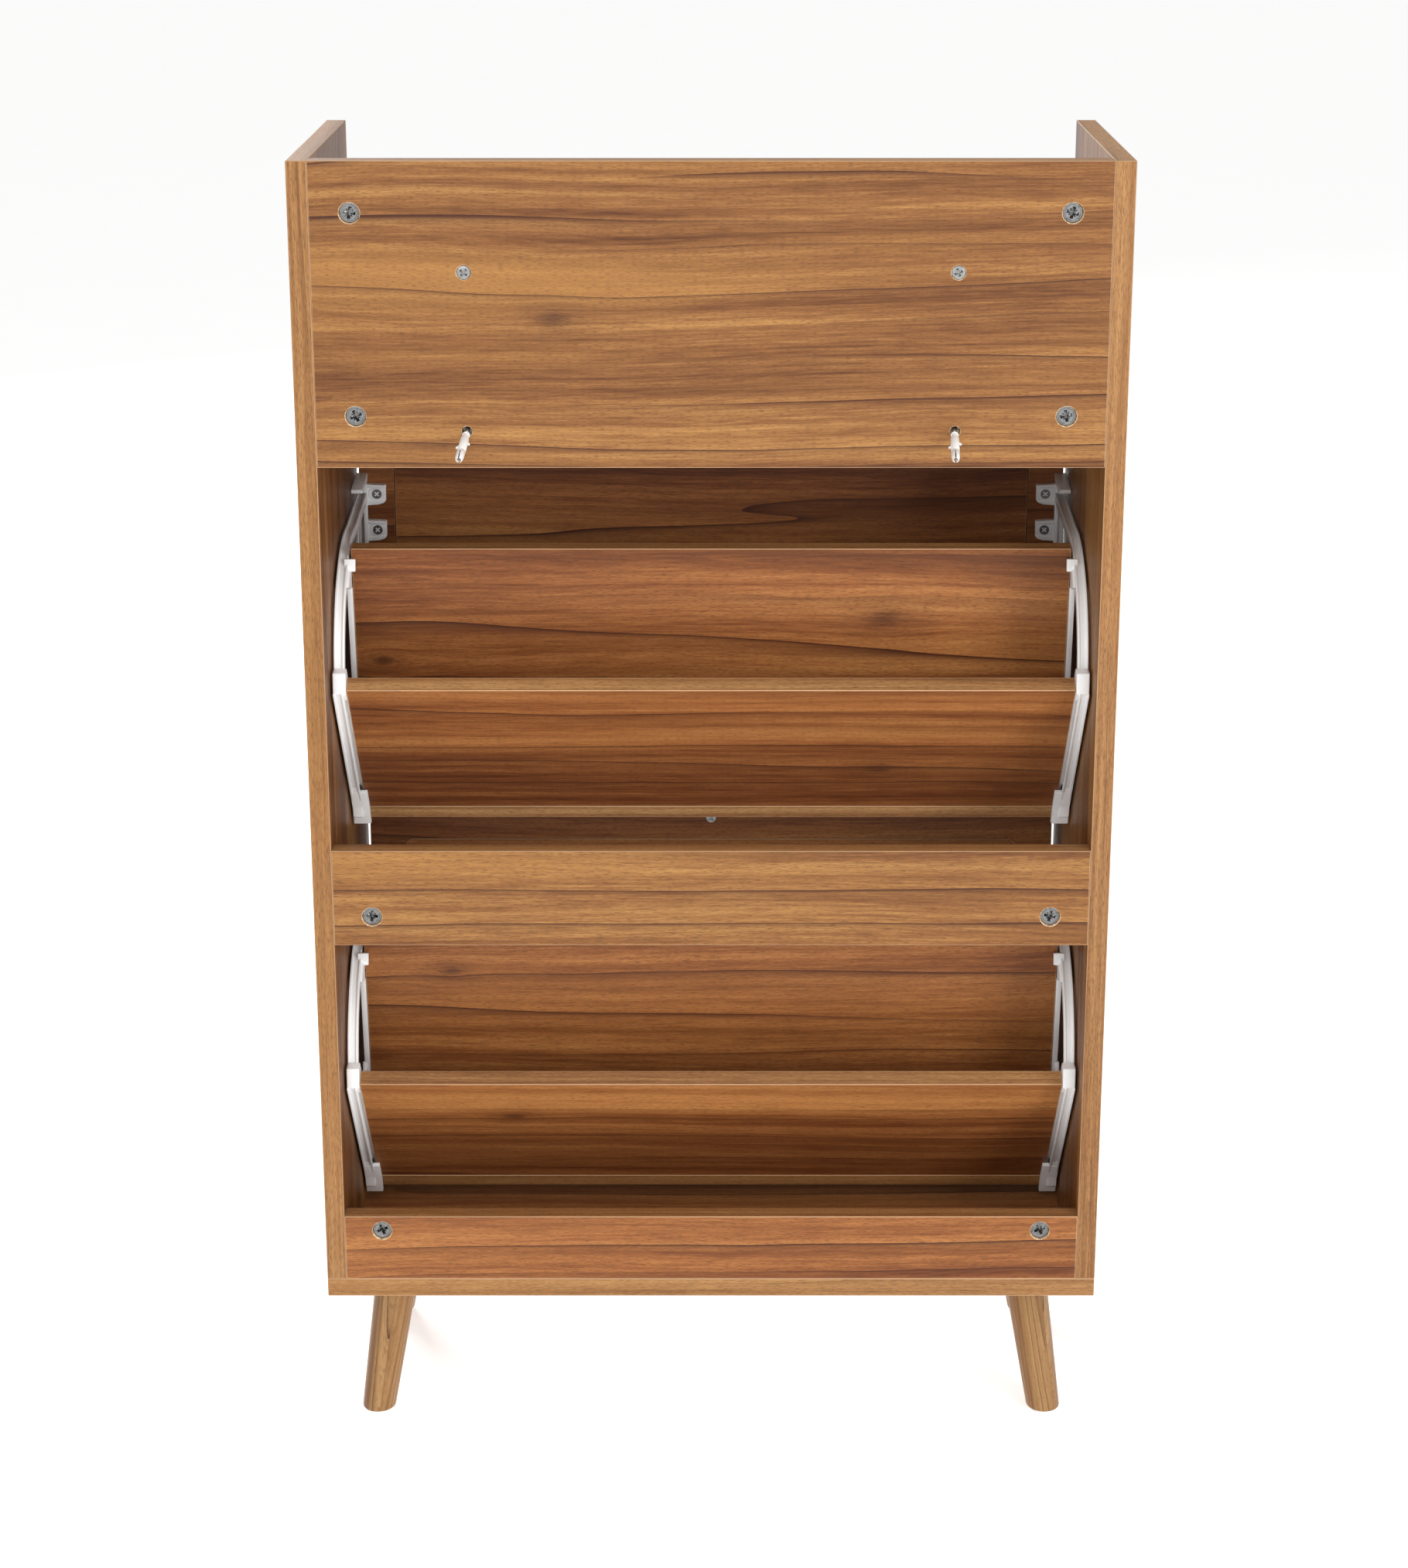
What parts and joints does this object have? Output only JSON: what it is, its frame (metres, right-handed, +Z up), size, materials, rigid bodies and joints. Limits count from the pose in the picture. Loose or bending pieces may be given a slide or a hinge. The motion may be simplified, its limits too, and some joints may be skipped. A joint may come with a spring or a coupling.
{
  "type": "shoe cabinet",
  "caption": "Narrow shoe cabinet on splayed legs with an open tray, an open niche and flip-out compartments on moulded side frames.",
  "frame": {"origin": "on the floor, at the middle of the whole cabinet with its knobs and wall plugs", "axes": "+Z up, the doors face -Y, the back faces +Y"},
  "size_m": [0.6, 0.3089, 1.01],
  "materials": {
    "carcass_board": "satin walnut-pattern melamine",
    "inner_board": "satin, darker and redder walnut-pattern melamine",
    "light_wood": "clear-lacquered ash",
    "dowel_wood": "raw beech",
    "moulded_plastic": "white moulded plastic with a soft sheen",
    "nylon": "milky nylon",
    "zinc": "die-cast zinc",
    "plate_steel": "zinc-plated sheet",
    "screw_steel": "bright zinc plate"
  },
  "bodies": {
    "carcass": {"base_screws": "screw_steel", "bottom_back_rail": "carcass_board", "bottom_board": "carcass_board", "cam_bolts": "screw_steel", "cam_locks": "zinc", "leg_bolts": "screw_steel", "leg_front_left": "light_wood", "leg_front_right": "light_wood", "leg_glides": "nylon", "leg_plate_screws": "screw_steel", "leg_plates": "plate_steel", "leg_rear_left": "light_wood", "leg_rear_right": "light_wood", "middle_back_rail": "carcass_board", "niche_floor": "carcass_board", "pivot_bushes": "nylon", "side_panel_left": "carcass_board", "side_panel_right": "carcass_board", "top_board": "carcass_board", "top_board_bolts": "screw_steel", "upper_back_panel": "carcass_board", "wall_plugs": "nylon", "wall_screws": "screw_steel", "wood_dowels": "dowel_wood"},
    "upper_flap": {"upper_door": "carcass_board", "upper_door_panel": "inner_board", "upper_flip_frame_left": "moulded_plastic", "upper_flip_frame_right": "moulded_plastic", "upper_frame_screws": "screw_steel", "upper_front_tier_back": "inner_board", "upper_front_tier_shelf": "inner_board", "upper_knob": "light_wood", "upper_knob_screw": "screw_steel", "upper_pivot_pins": "screw_steel", "upper_rear_tier_back": "inner_board", "upper_rear_tier_shelf": "inner_board"},
    "lower_flap": {"lower_door": "carcass_board", "lower_door_panel": "inner_board", "lower_flip_frame_left": "moulded_plastic", "lower_flip_frame_right": "moulded_plastic", "lower_frame_screws": "screw_steel", "lower_front_tier_back": "inner_board", "lower_front_tier_shelf": "inner_board", "lower_knob": "light_wood", "lower_knob_screw": "screw_steel", "lower_pivot_pins": "screw_steel", "lower_rear_tier_back": "inner_board", "lower_rear_tier_shelf": "inner_board"}
  },
  "joints": [
    {"name": "upper_flip", "type": "hinge", "parent": "carcass", "child": "upper_flap", "pos_m": [0, -0.10631, 0.522], "axis": [1, 0, 0], "range_deg": [0, 48]},
    {"name": "lower_flip", "type": "hinge", "parent": "carcass", "child": "lower_flap", "pos_m": [0, -0.10631, 0.201], "axis": [1, 0, 0], "range_deg": [0, 48]}
  ]
}
